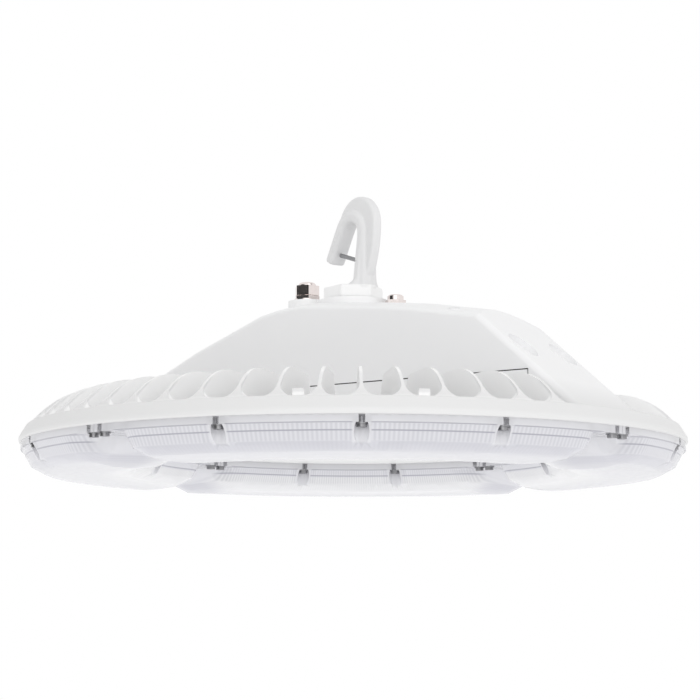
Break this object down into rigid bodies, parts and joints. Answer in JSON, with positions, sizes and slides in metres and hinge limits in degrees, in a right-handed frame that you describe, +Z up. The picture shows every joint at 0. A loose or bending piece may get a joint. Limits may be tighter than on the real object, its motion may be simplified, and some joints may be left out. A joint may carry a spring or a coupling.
{
  "type": "high bay light",
  "caption": "Round hanging LED high bay light with a finned disc, a sloped driver housing, a hook with a latch and a ring of ribbed lenses.",
  "frame": {"origin": "on the axis of the disc, level with the lowest ring of the lenses", "axes": "+Z up towards the hook; +X along the driver housing towards its sloped end"},
  "size_m": [0.61, 0.61, 0.2648],
  "materials": {
    "white_paint": "fine-textured white powder coat",
    "black_rubber": "matt",
    "steel": "satin stainless steel",
    "nickel": "bright nickel plate",
    "grey_rubber": "matt",
    "driver_case": "satin",
    "terminal_plastic": "matt",
    "clear_lens": "clear ribbed polycarbonate",
    "clear_silicone": "matt silicone",
    "white_board": "white solder mask on aluminium board",
    "led_yellow": "phosphor-coated LED"
  },
  "bodies": {
    "root": {"heat_sink": "white_paint", "driver_cover": "white_paint", "hook": "white_paint", "cover_gasket": "black_rubber", "hook_seal": "black_rubber", "gland_seal": "black_rubber", "cover_screws": "steel", "driver_screws": "steel", "outer_lens_screws": "steel", "inner_lens_screws": "steel", "outer_lens_washers": "steel", "inner_lens_washers": "steel", "latch_pivot_pin": "steel", "latch_spring": "steel", "hook_set_screw": "steel", "hook_locknut": "steel", "gland_washer": "nickel", "gland_body": "nickel", "gland_nut": "nickel", "gland_locknut": "nickel", "breather_vent": "nickel", "vent_washer": "grey_rubber", "led_driver": "driver_case", "terminal_block": "terminal_plastic", "lens_front": "clear_lens", "lens_gasket_front": "clear_silicone", "led_board_front": "white_board", "led_chips_front": "led_yellow", "lens_right": "clear_lens", "lens_gasket_right": "clear_silicone", "led_board_right": "white_board", "led_chips_right": "led_yellow", "lens_rear": "clear_lens", "lens_gasket_rear": "clear_silicone", "led_board_rear": "white_board", "led_chips_rear": "led_yellow", "lens_left": "clear_lens", "lens_gasket_left": "clear_silicone", "led_board_left": "white_board", "led_chips_left": "led_yellow"},
    "latch": {"hook_latch": "steel"}
  },
  "joints": [
    {"name": "latch_hinge", "type": "hinge", "parent": "root", "child": "latch", "pos_m": [0.01645, -0.00598, 0.2019], "axis": [0.342, 0.9397, 0], "range_deg": [0, 55], "stiffness_Nm_per_rad": 0.02, "springref_deg": -17.19}
  ]
}
